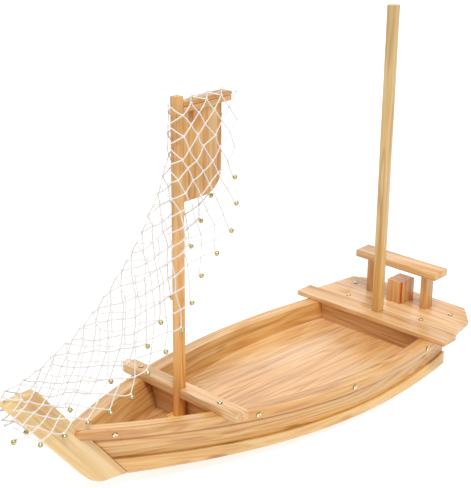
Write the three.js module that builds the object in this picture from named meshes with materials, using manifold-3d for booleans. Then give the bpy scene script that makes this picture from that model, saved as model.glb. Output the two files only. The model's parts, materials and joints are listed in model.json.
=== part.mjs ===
// A wooden serving boat with two masts, a small sail and a cord net with bells.
// Millimetres, +Z up, +X to the bow, +Y to port. The origin lies on the table,
// halfway between the stem's tip and the aft edge of the stern deck.

import * as THREE from 'three';
import Module from 'manifold-3d';
import { mergeVertices } from 'three/addons/utils/BufferGeometryUtils.js';

const wasm = await Module();
wasm.setup();

// The whole boat

const overallLength = 800;
const fit = 0.3; // gap between two pieces that were cut to each other
const innerFit = 0.5; // round the boards, walls and floors inside the hull
const overrun = 6; // how far a cutting shape passes the faces that it cuts

// Stem: a board on edge in the centre plane, raked forward

const stemThickness = 14;
const stemWidth = 48.5; // fore and aft, measured level
const stemTop = 184;
const heelHeight = 21;
const heelDrop = 5; // the heel's fore end is this much higher than its aft end
const heelRound = 22;
const rakeShare = 0.81; // run of the stem for each unit of rise

// Hull sides

const sternOverhang = 60; // deck behind the side boards
const sternLift = 2; // the flat bottom over the table, at the stern
const railStern = 63.5; // height of the boards' upper edge
const railBow = 111;
const plankThickness = 11.5;
const topBeam = 234.8; // greatest width over the boards, at the upper edge
const bottomBeam = 222;
const sternBeam = 190; // width over the boards at the transom
const strakeSternDepth = 42; // upper board, measured down from its upper edge
const strakeBowDepth = 59.5;
const garboardProud = 3.5; // lower board stands out from the upper one
const bowRecess = 1; // the boards' ends lie inside the faces of the stem
const widestShare = 0.32; // place of the greatest width, from the stern
const fullness = 1.95; // exponent of the side's curve
const sheerShare = 0.2; // straight part of the rise of the upper edge
const closingShare = 1.3; // the inner boards stop short of the point of the bow

// Rubbing strip along the upper edge

const waleThickness = 7.3;
const waleHeight = 15.5;
const waleLap = 9; // runs past the stem's aft edge
const waleEndShare = 1.016;

// Bottom, floors and walls inside

const bottomThickness = 8;
const transomThickness = 10;
const floorHeight = 32; // upper face of the floors over the hull's flat bottom
const floorThickness = 6;
const bearerWidth = 16;
const bulkheadThickness = 6;
const aftWallSetback = 7; // aft wall behind the front edge of the stern beam
const wallTopGap = 0.3;

// Feet that level the boat

const footWidth = 18;
const foreFootLength = 112;
const aftFootLength = 150;
const foreFootX = 0; // the fore foot is under the origin
const aftFootShare = 0.19; // place along the flat bottom, from the stern

// Thwart across the boat, in front of the main hold

const thwartPlaceShare = 0.66; // its front edge, from the deck's aft edge
const thwartWidth = 21;
const thwartThickness = 12;
const thwartTop = 101.7;
const thwartLength = 209;
const thwartShift = -2.5; // it lies a little to starboard
const thwartSlantShare = 0.15; // slant of the port end as a share of the width

// Stern beam, deck, rack and block

const beamSetback = 124.2; // front edge of the beam, from the deck's aft edge
const beamWidth = 32.2;
const beamLength = 275;
const deckThickness = 7.8;
const deckTop = 71.6;
const deckFrontWidth = 264;
const deckShoulderWidth = 242;
const deckAftWidth = 184;
const deckShoulderShare = 0.62;
const starboardShoulderShare = 0.825; // that end was sawn further in, to its own line
const starboardFrontTrim = 10;
const starboardShoulderTrim = 11;
const starboardAftTrim = 12;
const rackTop = 139.7;
const rackWidth = 32;
const rackLength = 148;
const rackThickness = 11.1;
const rackSetback = 28;
const postWidth = 19;
const postThickness = 10.6;
const postSpread = 111.4; // over the outer faces of the two posts
const postShift = -4.6; // the posts stand a little to starboard
const blockLength = 33;
const blockWidth = 27.6;
const blockHeight = 35.4;
const blockSetback = 24.2;
const blockRabbet = 3;

// Masts, yard and sail

const foreMastSize = 11.6;
const foreMastTop = 481.9;
const aftMastSize = 13.2;
const aftMastTop = 535.1;
const mastPlay = 0.4; // clearance round a mast in its hole
const stepSize = 26;
const stepHeight = 11;
const stepTilt = 0.3;
const yardLength = 83.5;
const yardHeight = 11.9;
const yardTopDrop = 8.1; // yard's top under the mast's top
const yardSeamShare = 0.63; // seam's place up the yard
const yardNose = 4; // rounding of the yard's upper aft corner
const yardGroove = 1.2;
const sailWidth = 67.5;
const sailHeight = 112.5;
const sailThickness = 7;
const sailRound = 30;

// Screws with domed heads

const headRadius = 3.6;
const headHeight = 2;
const shankRadius = 1.4;
const boreRadius = 1.75;
const railScrewLength = 10;
const deckScrewLength = 6;
const headLift = 0.15; // under a head, so that it lies on no facet
const railScrewShares = [0.1175, 0.405, 0.6635, 0.95];
const thwartScrewShares = [-0.713, 0.658];
const foreDeckScrewSetback = 82;
const foreDeckScrewSpread = 136.6;
const aftDeckScrewSetback = 36;
const aftDeckScrewSpread = 179;

// Net of thin cord, with bells on its free edges

const cordWidth = 1.6;
const netSide = 12; // distance of the net's two sheets from the centre plane
const netSpread = 9; // the starboard sheet hangs out this much further
const netOverYard = 3;
const rowPairCount = 17; // whole meshes from the yard to the stem
const columnPairCount = 4; // whole meshes from the fold to each free edge
const bellRadius = 3.6;
const bellGap = 0.4;
const bellSagShare = 0.5; // pull of the weight against the pull of the net

// Places of the bells along the net's edges, port first. Those in the part of the net that
// stretches when the mast is lifted, and two over the stem, are one piece with the net.
const bellShares = [
  [1, [0.18, 0.24, 0.29, 0.53, 0.59, 0.65, 0.71, 0.76, 0.82, 0.88, 0.94, 1]],
  [-1, [0.24, 0.29, 0.53, 0.59, 0.71]],
];
const tiedBellShares = [
  [1, [0.35, 0.41, 0.47]],
  [-1, [0.35, 0.47, 0.82, 0.94]],
];

// Lines of the net as shares: forward from the fore mast to the stem's tip, and from the
// stem's top up to the yard's top, or down to the rail where the share is negative
const foldShares = [
  [0.031, 1],
  [0.06, 0.731],
  [0.19, 0.508],
  [0.34, 0.355],
  [0.54, 0.199],
  [0.78, 0.091],
  [0.975, 0.024],
];
const portEdgeShares = [
  [-0.35, 1],
  [-0.357, 0.849],
  [-0.331, 0.659],
  [-0.342, 0.504],
  [-0.305, 0.386],
  [-0.114, 0.242],
  [0.015, 0.02],
  [0.21, -0.355],
  [0.357, -0.77],
  [0.596, -0.81],
  [0.798, -0.85],
  [0.956, -0.58],
];
const starboardEdgeShares = [
  [-0.35, 1],
  [-0.353, 0.833],
  [-0.305, 0.573],
  [-0.213, 0.41],
  [-0.007, 0.076],
  [0.118, -0.22],
  [0.357, -0.56],
  [0.596, -0.71],
  [0.798, -0.77],
  [0.949, -0.49],
];

// Materials

function paint(color, roughness, metalness) {
  return new THREE.MeshStandardMaterial({ color, roughness, metalness });
}

const pine = 0xe2b172;
const palePine = 0xe9bf86;
const warmPine = 0xd89f58;
const brassGold = 0xcfb263;
const whiteCord = 0xf5ecd8;

const boat = new THREE.Group();

function addPiece(name, geometry, color, roughness = 0.55, metalness = 0) {
  const mesh = new THREE.Mesh(geometry, paint(color, roughness, metalness));
  mesh.name = name;
  boat.add(mesh);
  return mesh;
}

// Solids

function toManifold(geometry) {
  const bare = new THREE.BufferGeometry();
  bare.setAttribute('position', geometry.getAttribute('position').clone());
  if (geometry.index) {
    bare.setIndex(geometry.index.clone());
  }
  const merged = mergeVertices(bare);
  return new wasm.Manifold(new wasm.Mesh({
    numProp: 3,
    vertProperties: new Float32Array(merged.getAttribute('position').array),
    triVerts: new Uint32Array(merged.index.array),
  }));
}

function toGeometry(solid) {
  const mesh = solid.getMesh();
  const geometry = new THREE.BufferGeometry();
  const positions = new Float32Array(mesh.vertProperties);
  geometry.setAttribute('position', new THREE.BufferAttribute(positions, 3));
  geometry.setIndex(Array.from(mesh.triVerts));
  geometry.computeVertexNormals();
  return geometry;
}

function box(x0, x1, y0, y1, z0, z1) {
  const geometry = new THREE.BoxGeometry(x1 - x0, y1 - y0, z1 - z0);
  geometry.translate((x0 + x1) / 2, (y0 + y1) / 2, (z0 + z1) / 2);
  return geometry;
}

function extrudeUp(shape, z0, z1, curveSegments = 10) {
  const geometry = new THREE.ExtrudeGeometry(shape, {
    depth: z1 - z0,
    bevelEnabled: false,
    curveSegments,
  });
  geometry.translate(0, 0, z0);
  return geometry;
}

// A profile drawn in X and Z, with its thickness shared by both sides of the centre plane.
function extrudeAcross(shape, thickness, curveSegments = 10) {
  const geometry = new THREE.ExtrudeGeometry(shape, {
    depth: thickness,
    bevelEnabled: false,
    curveSegments,
  });
  geometry.rotateX(Math.PI / 2);
  geometry.translate(0, thickness / 2, 0);
  return geometry;
}

function outline(points) {
  return new THREE.Shape(points.map(([x, y]) => new THREE.Vector2(x, y)));
}

// A closed solid through a row of like sections, each a ring of points.
function loft(sections) {
  const ring = sections[0].length;
  const positions = sections.flat().flatMap((p) => [p.x, p.y, p.z]);
  const faces = [];
  for (let i = 0; i + 1 < sections.length; i += 1) {
    for (let j = 0; j < ring; j += 1) {
      const a = i * ring + j;
      const b = i * ring + ((j + 1) % ring);
      faces.push([a, b, b + ring], [a, b + ring, a + ring]);
    }
  }
  const last = (sections.length - 1) * ring;
  for (let j = 1; j + 1 < ring; j += 1) {
    faces.push([0, j + 1, j], [last, last + j, last + j + 1]);
  }
  const corner = (k) => new THREE.Vector3().fromArray(positions, k * 3);
  const volume = faces.reduce(
    (sum, [a, b, c]) => sum + corner(a).dot(corner(b).cross(corner(c))),
    0,
  );
  const turned = volume < 0 ? faces.map(([a, b, c]) => [a, c, b]) : faces;
  const geometry = new THREE.BufferGeometry();
  geometry.setAttribute('position', new THREE.Float32BufferAttribute(positions, 3));
  geometry.setIndex(turned.flat());
  return geometry;
}

function mirrored(geometry) {
  const copy = geometry.clone();
  copy.scale(1, -1, 1);
  const index = Array.from(copy.index.array);
  for (let i = 0; i < index.length; i += 3) {
    [index[i], index[i + 1]] = [index[i + 1], index[i]];
  }
  copy.setIndex(index);
  copy.computeVertexNormals();
  return copy;
}

function cut(geometry, ...tools) {
  return toGeometry(tools.reduce((solid, tool) => solid.subtract(tool), toManifold(geometry)));
}

// Lines of the hull, with t from 0 at the transom to 1 at the stem

const stemTip = overallLength / 2;
const deckAft = -overallLength / 2;
const thwartFront = deckAft + overallLength * thwartPlaceShare;
const beamFront = deckAft + beamSetback;
const rackAft = deckAft + rackSetback;
const blockAft = deckAft + blockSetback;
const sternX = deckAft + sternOverhang;
const heelX = stemTip - stemWidth - rakeShare * (stemTop - heelHeight);

function stemAft(z) {
  return heelX + rakeShare * (z - heelHeight);
}

function stemLead(z) {
  return stemAft(z) + stemWidth;
}

const railBowX = stemAft(railBow);
const stations = 26;
const step = 1 / stations;

function railHeight(t) {
  return railStern + (railBow - railStern) * (sheerShare * t + (1 - sheerShare) * t * t);
}

function bottomHeight(t) {
  return sternLift + (heelHeight - sternLift) * t;
}

function bottomAt(x) {
  return bottomHeight((x - sternX) / (heelX - sternX));
}

function halfBreadth(t, widest, stern, bow) {
  if (t < widestShare) {
    return widest - (widest - stern) * ((widestShare - t) / widestShare) ** fullness;
  }
  return widest - (widest - bow) * ((t - widestShare) / (1 - widestShare)) ** fullness;
}

const bowHalf = stemThickness / 2 - bowRecess;
const heelHalf = stemThickness / 2 - garboardProud - fit;

// A point of the upper board's outer face, with s from 0 at its rail to 1 at the flat bottom.
function facePoint(t, s) {
  const upper = new THREE.Vector3(
    sternX + (railBowX - sternX) * t,
    halfBreadth(t, topBeam / 2, sternBeam / 2, bowHalf),
    railHeight(t),
  );
  const lower = new THREE.Vector3(
    sternX + (heelX - sternX) * t,
    halfBreadth(t, bottomBeam / 2, sternBeam / 2, heelHalf),
    bottomHeight(t),
  );
  return upper.lerp(lower, s);
}

// The same point moved level and square to the side, outwards by a distance.
function sidePoint(t, s, out) {
  const along = facePoint(t + step / 10, s).sub(facePoint(t - step / 10, s));
  const normal = new THREE.Vector3(-along.y, along.x, 0).normalize();
  return facePoint(t, s).addScaledVector(normal, out);
}

function depthShare(t, depth) {
  return depth / (railHeight(t) - bottomHeight(t));
}

function strakeShare(t) {
  return depthShare(t, strakeSternDepth + (strakeBowDepth - strakeSternDepth) * t);
}

function runOf(t0, t1) {
  const count = Math.max(1, Math.round((t1 - t0) / step));
  return Array.from({ length: count + 1 }, (_, i) => t0 + ((t1 - t0) * i) / count);
}

const pastStern = -step;
const pastBow = 1 + 2 * step;

// Everything forward of the stem's aft edge, and the other side of the centre plane
const foreRegion = toManifold(extrudeAcross(outline([
  [stemAft(-heelHeight) - fit, -heelHeight],
  [stemTip + stemWidth, -heelHeight],
  [stemTip + stemWidth, stemTop],
  [stemAft(stemTop) - fit, stemTop],
]), topBeam));
const starboardHalf = toManifold(
  box(deckAft, stemTip, -topBeam, fit / 2, -heelHeight, stemTop),
);
const aftRegion = toManifold(box(deckAft, sternX, -topBeam, topBeam, -heelHeight, stemTop));

// Screw places on the rail, each with its own turned axis

function railScrewPlaces() {
  return railScrewShares.map((t) => {
    const s = depthShare(t, waleHeight / 2);
    const along = facePoint(t + step, s).sub(facePoint(t - step, s));
    const down = facePoint(t, 1).sub(facePoint(t, 0));
    const axis = along.cross(down).normalize();
    const face = sidePoint(t, s, waleThickness + fit);
    return { seat: face.addScaledVector(axis, headLift), axis };
  });
}

function screwGeometry(length) {
  const profile = [new THREE.Vector2(0, -length), new THREE.Vector2(shankRadius, -length)];
  profile.push(new THREE.Vector2(shankRadius, 0), new THREE.Vector2(headRadius, 0));
  const arcs = 3;
  for (let i = 1; i < arcs; i += 1) {
    const angle = (Math.PI / 2) * (i / arcs);
    const radius = headRadius * Math.cos(angle);
    profile.push(new THREE.Vector2(radius, headHeight * Math.sin(angle)));
  }
  profile.push(new THREE.Vector2(0, headHeight));
  const geometry = new THREE.LatheGeometry(profile, 8);
  geometry.rotateX(Math.PI / 2);
  return geometry;
}

function boreGeometry(length) {
  const geometry = new THREE.CylinderGeometry(boreRadius, boreRadius, length + overrun, 8);
  geometry.rotateX(Math.PI / 2);
  geometry.translate(0, 0, (overrun - length) / 2 - fit);
  return geometry;
}

function placed(geometry, seat, axis) {
  const copy = geometry.clone();
  const turn = new THREE.Quaternion().setFromUnitVectors(new THREE.Vector3(0, 0, 1), axis);
  copy.applyQuaternion(turn);
  copy.translate(seat.x, seat.y, seat.z);
  return copy;
}

const up = new THREE.Vector3(0, 0, 1);
const thwartAft = thwartFront - thwartWidth;
const beamAft = beamFront - beamWidth;
const railPlaces = railScrewPlaces();
const railBores = railPlaces.map(
  ({ seat, axis }) => toManifold(placed(boreGeometry(railScrewLength), seat, axis)),
);

// Seats in the boards' upper edges for the thwart, the stern beam and the deck

const thwartBottom = thwartTop - thwartThickness;
const deckBottom = deckTop - deckThickness;
const thwartSeat = toManifold(box(
  thwartAft - fit,
  thwartFront + fit,
  -topBeam,
  topBeam,
  thwartBottom - fit,
  thwartTop + overrun,
));
const deckSeat = toManifold(box(
  deckAft,
  beamFront + fit,
  -topBeam,
  topBeam,
  deckBottom - fit,
  deckTop + overrun,
));

// Side boards and rubbing strips

function sideBoard(t0, t1, upperShare, lowerShare, outer, inner) {
  return loft(runOf(t0, t1).map((t) => [
    sidePoint(t, upperShare(t), outer),
    sidePoint(t, upperShare(t), inner),
    sidePoint(t, lowerShare(t), inner),
    sidePoint(t, lowerShare(t), outer),
  ]));
}

const seam = (t) => depthShare(t, fit);
const upperBoard = cut(
  sideBoard(pastStern, pastBow, () => 0, strakeShare, 0, -plankThickness),
  aftRegion,
  foreRegion,
  starboardHalf,
  thwartSeat,
  deckSeat,
  ...railBores,
);
addPiece('upper_strake_port', upperBoard, pine);
addPiece('upper_strake_starboard', mirrored(upperBoard), pine);

const lowerBoard = cut(
  sideBoard(
    pastStern,
    pastBow,
    (t) => strakeShare(t) + seam(t),
    () => 1,
    garboardProud,
    -plankThickness,
  ),
  aftRegion,
  foreRegion,
  starboardHalf,
);
addPiece('garboard_port', lowerBoard, palePine);
addPiece('garboard_starboard', mirrored(lowerBoard), palePine);

const stemSide = toManifold(box(
  sternX,
  stemTip,
  -topBeam,
  stemThickness / 2 + fit,
  -heelHeight,
  stemTop,
));
const walePastStem = toManifold(box(
  railBowX + waleLap,
  stemTip,
  0,
  topBeam,
  0,
  stemTop,
));
const rubbingStrip = cut(
  sideBoard(
    pastStern,
    waleEndShare,
    () => 0,
    (t) => depthShare(t, waleHeight),
    waleThickness + fit,
    fit,
  ),
  aftRegion,
  stemSide,
  walePastStem,
  thwartSeat,
  deckSeat,
  ...railBores,
);
addPiece('wale_port', rubbingStrip, pine);
addPiece('wale_starboard', mirrored(rubbingStrip), pine);

// Stem

function stemShape() {
  const heelFront = heelHeight + heelDrop;
  const corner = stemLead(heelFront);
  const shape = new THREE.Shape();
  shape.moveTo(heelX, heelHeight);
  shape.lineTo(corner - heelRound, heelFront);
  shape.quadraticCurveTo(corner, heelFront, stemLead(heelFront + heelRound), heelFront + heelRound);
  shape.lineTo(stemTip, stemTop);
  shape.lineTo(stemTip - stemWidth, stemTop);
  shape.closePath();
  return shape;
}

addPiece('stem', extrudeAcross(stemShape(), stemThickness), warmPine);

// The space between the side boards, less the fit, from which the inner pieces are cut

function insideSection(t) {
  const side = [0, strakeShare(t), 1].map((s) => sidePoint(t, s, -plankThickness - innerFit));
  const far = [side[2], side[0]].map((p) => new THREE.Vector3(p.x, -topBeam, p.z));
  return [...side, ...far];
}

const insidePort = loft(runOf(pastStern, 1).map(insideSection));
const inside = toManifold(insidePort).intersect(toManifold(mirrored(insidePort)));

function insidePiece(tool) {
  return toGeometry(inside.intersect(tool));
}

// A slab parallel to the flat bottom, between two heights over it
function bottomSlab(x0, x1, low, high) {
  return toManifold(extrudeAcross(outline([
    [x0, bottomAt(x0) + low],
    [x1, bottomAt(x1) + low],
    [x1, bottomAt(x1) + high],
    [x0, bottomAt(x0) + high],
  ]), topBeam));
}

const foreWallFront = thwartAft + bulkheadThickness;
const aftWallFront = beamFront - aftWallSetback;
const aftWallAft = aftWallFront - bulkheadThickness;
const transomFront = sternX + transomThickness;

// Where the space between the boards ends in a point, at a share of the side's depth
function closingX(s) {
  const widest = (topBeam + (bottomBeam - topBeam) * s) / 2;
  const bow = bowHalf + (heelHalf - bowHalf) * s;
  const run = ((widest - plankThickness * closingShare) / (widest - bow)) ** (1 / fullness);
  return facePoint(widestShare + (1 - widestShare) * run, s).x;
}

const bottomEnd = closingX(1);
const floorEnd = closingX(depthShare(1, railBow - heelHeight - floorHeight));

addPiece(
  'bottom_plank',
  insidePiece(bottomSlab(transomFront + fit, bottomEnd, 0, bottomThickness)),
  pine,
);
addPiece(
  'transom',
  insidePiece(toManifold(
    box(sternX, transomFront, -topBeam, topBeam, sternLift, deckBottom - wallTopGap),
  )),
  pine,
);

function bulkhead(x0, x1, top) {
  const slab = bottomSlab(x0, x1, bottomThickness + fit, top);
  const limit = toManifold(box(x0, x1, -topBeam, topBeam, 0, top));
  return toGeometry(inside.intersect(slab).intersect(limit));
}

addPiece(
  'fore_bulkhead',
  bulkhead(thwartAft, foreWallFront, thwartBottom - wallTopGap),
  warmPine,
);
addPiece(
  'aft_bulkhead',
  bulkhead(aftWallAft, aftWallFront, deckBottom - wallTopGap),
  warmPine,
);

// A raised floor with two bearers glued under it
function raisedFloor(x0, x1) {
  const under = floorHeight - floorThickness;
  const board = inside.intersect(bottomSlab(x0, x1, under, floorHeight));
  const inset = (x1 - x0) / 6;
  const bearers = [x0 + inset, x1 - inset - bearerWidth].map((x) => inside.intersect(
    bottomSlab(x, x + bearerWidth, bottomThickness + fit, floorHeight - floorThickness / 2),
  ));
  return toGeometry(bearers.reduce((solid, bearer) => solid.add(bearer), board));
}

addPiece('main_floor', raisedFloor(aftWallFront + fit, thwartAft - fit), palePine);
addPiece('fore_floor', raisedFloor(foreWallFront + fit, floorEnd), palePine);

// Feet under the flat bottom, level where they stand

function foot(x, length) {
  const x0 = x - footWidth / 2;
  const x1 = x + footWidth / 2;
  return extrudeAcross(outline([
    [x0, 0],
    [x1, 0],
    [x1, bottomAt(x1) - fit],
    [x0, bottomAt(x0) - fit],
  ]), length);
}

addPiece('fore_foot', foot(foreFootX, foreFootLength), warmPine);
addPiece('aft_foot', foot(sternX + (heelX - sternX) * aftFootShare, aftFootLength), warmPine);

// Thwart, with a notch in its front edge for the fore mast

const foreMastAft = thwartFront - foreMastSize;

function thwartShape() {
  const portEnd = thwartShift + thwartLength / 2;
  const starboardEnd = thwartShift - thwartLength / 2;
  const round = thwartWidth / 2;
  const notch = foreMastSize / 2 + mastPlay;
  const notchBack = foreMastAft - mastPlay;
  const shape = new THREE.Shape();
  shape.moveTo(thwartFront, portEnd);
  shape.lineTo(thwartAft, portEnd + thwartWidth * thwartSlantShare);
  shape.lineTo(thwartAft, starboardEnd + round);
  shape.absarc(thwartAft + round, starboardEnd + round, round, Math.PI, 2 * Math.PI, false);
  shape.lineTo(thwartFront, -notch);
  shape.lineTo(notchBack, -notch);
  shape.lineTo(notchBack, notch);
  shape.lineTo(thwartFront, notch);
  shape.closePath();
  return shape;
}

const thwartMiddle = (thwartFront + thwartAft) / 2;
const topScrews = thwartScrewShares.map((share) => new THREE.Vector3(
  thwartMiddle,
  thwartShift + share * (thwartLength / 2),
  thwartTop,
));
const deckScrews = [
  [foreDeckScrewSetback, foreDeckScrewSpread / 2],
  [foreDeckScrewSetback, -foreDeckScrewSpread / 2],
  [aftDeckScrewSetback, aftDeckScrewSpread / 2],
  [aftDeckScrewSetback, -aftDeckScrewSpread / 2],
].map(([setback, y]) => new THREE.Vector3(deckAft + setback, y, deckTop));

function downBore(place) {
  return toManifold(placed(boreGeometry(deckScrewLength), place, up));
}

addPiece(
  'thwart',
  cut(extrudeUp(thwartShape(), thwartBottom, thwartTop), ...topScrews.map(downBore)),
  pine,
);

// Stern beam with the aft mast's notch, and the deck behind it

const aftMastFront = beamAft + aftMastSize;

function beamShape() {
  const half = beamLength / 2;
  const notch = aftMastSize / 2 + mastPlay;
  return outline([
    [beamFront, half],
    [beamAft, half],
    [beamAft, notch],
    [aftMastFront + mastPlay, notch],
    [aftMastFront + mastPlay, -notch],
    [beamAft, -notch],
    [beamAft, -half],
    [beamFront, -half],
  ]);
}

addPiece('stern_beam', extrudeUp(beamShape(), deckBottom, deckTop), pine);

function deckShape() {
  const front = beamAft - mastPlay;
  const depth = front - deckAft;
  return outline([
    [front, deckFrontWidth / 2],
    [front - depth * deckShoulderShare, deckShoulderWidth / 2],
    [deckAft, deckAftWidth / 2],
    [deckAft, starboardAftTrim - deckAftWidth / 2],
    [front - depth * starboardShoulderShare, starboardShoulderTrim - deckShoulderWidth / 2],
    [front, starboardFrontTrim - deckFrontWidth / 2],
  ]);
}

addPiece(
  'aft_deck',
  cut(extrudeUp(deckShape(), deckBottom, deckTop), ...deckScrews.map(downBore)),
  palePine,
);

// Rack of two posts and a crossbar, with a block between the posts

const rackBottom = rackTop - rackThickness;
const postFaces = [postSpread / 2 + postShift, postShift - postSpread / 2];
addPiece(
  'rack_post_port',
  box(
    rackAft,
    rackAft + postWidth,
    postFaces[0] - postThickness,
    postFaces[0],
    deckTop,
    rackBottom,
  ),
  pine,
);
addPiece(
  'rack_post_starboard',
  box(
    rackAft,
    rackAft + postWidth,
    postFaces[1],
    postFaces[1] + postThickness,
    deckTop,
    rackBottom,
  ),
  pine,
);
addPiece(
  'rack_crossbar',
  box(rackAft, rackAft + rackWidth, -rackLength / 2, rackLength / 2, rackBottom, rackTop),
  warmPine,
);

function blockShape() {
  const front = blockAft + blockLength;
  const half = blockWidth / 2;
  return outline([
    [blockAft, -half],
    [front, -half],
    [front, half - blockRabbet],
    [front - blockRabbet, half - blockRabbet],
    [front - blockRabbet, half],
    [blockAft, half],
  ]);
}

addPiece('stern_block', extrudeUp(blockShape(), deckTop, deckTop + blockHeight), warmPine);

// Mast steps: blocks with a square hole that each mast's foot stands in

function mastStep(centre, size, low) {
  const reach = stepSize / 2;
  const hole = size / 2 + mastPlay;
  const slab = bottomSlab(centre - reach, centre + reach, low + fit, low + stepHeight);
  const width = toManifold(
    box(centre - reach, centre + reach, -reach, reach, 0, thwartTop),
  );
  const socket = toManifold(
    box(centre - hole, centre + hole, -hole, hole, 0, thwartTop),
  );
  return slab.intersect(width).subtract(socket);
}

const foreMastCentre = thwartFront - foreMastSize / 2;
const aftMastCentre = beamAft + aftMastSize / 2;
const foreStepLimit = toManifold(
  box(foreWallFront + fit, stemTip, -topBeam, topBeam, 0, thwartTop),
);
const aftStepLimit = toManifold(
  box(transomFront, aftWallAft - fit, -topBeam, topBeam, 0, thwartTop),
);
addPiece(
  'fore_mast_step',
  toGeometry(mastStep(foreMastCentre, foreMastSize, floorHeight).intersect(foreStepLimit)),
  warmPine,
);
addPiece(
  'aft_mast_step',
  toGeometry(mastStep(aftMastCentre, aftMastSize, bottomThickness).intersect(aftStepLimit)),
  warmPine,
);

// Masts, standing just clear of what is under them

const foreMastFoot = bottomAt(thwartFront) + floorHeight + stepTilt;
const aftMastFoot = bottomAt(aftMastFront) + bottomThickness + stepTilt;
addPiece(
  'fore_mast',
  box(
    foreMastAft,
    thwartFront,
    -foreMastSize / 2,
    foreMastSize / 2,
    foreMastFoot,
    foreMastTop,
  ),
  warmPine,
);
addPiece(
  'aft_mast',
  box(beamAft, aftMastFront, -aftMastSize / 2, aftMastSize / 2, aftMastFoot, aftMastTop),
  palePine,
);

// Yard and sail, glued to the aft face of the fore mast

const yardTop = foreMastTop - yardTopDrop;
const yardBottom = yardTop - yardHeight;
const yardSeam = yardBottom + yardHeight * yardSeamShare;
const yardEnd = foreMastAft - yardLength;

function yardShape() {
  const shape = new THREE.Shape();
  shape.moveTo(foreMastAft, yardBottom);
  shape.lineTo(foreMastAft, yardTop);
  shape.lineTo(yardEnd + yardNose, yardTop);
  shape.quadraticCurveTo(yardEnd, yardTop, yardEnd, yardTop - yardNose);
  shape.lineTo(yardEnd, yardSeam);
  shape.lineTo(yardEnd + yardGroove, yardSeam - yardGroove / 2);
  shape.lineTo(yardEnd + yardGroove, yardBottom);
  shape.closePath();
  return shape;
}

function sideGroove(side) {
  const face = (side * foreMastSize) / 2;
  return toManifold(box(
    yardEnd - overrun,
    foreMastAft + overrun,
    Math.min(face - side * yardGroove, face + side * overrun),
    Math.max(face - side * yardGroove, face + side * overrun),
    yardSeam - yardGroove,
    yardSeam,
  ));
}

addPiece(
  'yard',
  cut(extrudeAcross(yardShape(), foreMastSize), sideGroove(1), sideGroove(-1)),
  warmPine,
);

const sailTop = yardBottom;
const sailAft = foreMastAft - sailWidth;

function sailShape() {
  const low = sailTop - sailHeight;
  const shape = new THREE.Shape();
  shape.moveTo(foreMastAft, low);
  shape.lineTo(foreMastAft, sailTop);
  shape.lineTo(sailAft, sailTop);
  shape.lineTo(sailAft, low + sailRound);
  shape.absarc(sailAft + sailRound, low + sailRound, sailRound, Math.PI, 1.5 * Math.PI, false);
  shape.closePath();
  return shape;
}

addPiece('sail_panel', extrudeAcross(sailShape(), sailThickness), palePine);

// Net: a lattice of square cord, folded in front of the mast and joined over the yard

function netCurve(shares) {
  return new THREE.CatmullRomCurve3(shares.map(([forward, rise]) => new THREE.Vector3(
    thwartFront + (stemTip - thwartFront) * forward,
    0,
    stemTop + (rise > 0 ? yardTop - stemTop : stemTop - railBow) * rise,
  )));
}

const netRows = 2 * Math.round(rowPairCount);
const netColumns = 2 * Math.round(columnPairCount);
const foldCurve = netCurve(foldShares);
const edgeCurves = new Map([
  [1, netCurve(portEdgeShares)],
  [-1, netCurve(starboardEdgeShares)],
]);

function netPoint(side, row, column) {
  const u = row / netRows;
  const v = column / netColumns;
  const point = foldCurve.getPointAt(u).lerp(edgeCurves.get(side).getPointAt(u), v);
  const spread = side < 0 ? netSpread * v * Math.sin(Math.PI * u) : 0;
  point.y = side * (netSide + spread);
  return point;
}

const knots = new Map();

function addKnot(key, place, normal) {
  knots.set(key, { place, normal, ties: [], ring: [], mouths: new Map() });
}

function keyOf(side, row, column) {
  if (row < 0) {
    return `top ${column}`;
  }
  return column === 0 ? `fold ${row}` : `${side} ${row} ${column}`;
}

function tie(from, to) {
  if (!knots.get(from).ties.includes(to)) {
    knots.get(from).ties.push(to);
    knots.get(to).ties.push(from);
  }
}

for (let row = 0; row <= netRows; row += 2) {
  const along = foldCurve.getTangentAt(row / netRows);
  addKnot(
    keyOf(1, row, 0),
    foldCurve.getPointAt(row / netRows),
    new THREE.Vector3(-along.z, 0, along.x),
  );
}
for (const side of [1, -1]) {
  for (let row = 0; row <= netRows; row += 1) {
    for (let column = 2 - (row % 2); column <= netColumns; column += 2) {
      addKnot(
        keyOf(side, row, column),
        netPoint(side, row, column),
        new THREE.Vector3(0, side, 0),
      );
    }
  }
}
for (let column = 3; column < netColumns; column += 2) {
  const place = netPoint(1, 0, column);
  place.y = 0;
  place.z = yardTop + netOverYard;
  addKnot(keyOf(0, -1, column), place, new THREE.Vector3(0, 0, 1));
}
for (const side of [1, -1]) {
  for (let row = -1; row < netRows; row += 1) {
    for (let column = 0; column <= netColumns; column += 1) {
      const from = keyOf(side, row, column);
      for (const next of [column - 1, column + 1]) {
        const to = keyOf(side, row + 1, next);
        if (knots.has(from) && knots.has(to) && (row + column) % 2 === 0) {
          tie(from, to);
        }
      }
    }
  }
}

const netPositions = [];
const netFaces = [];

function addCorner(point) {
  netPositions.push(point.x, point.y, point.z);
  return netPositions.length / 3 - 1;
}

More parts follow.
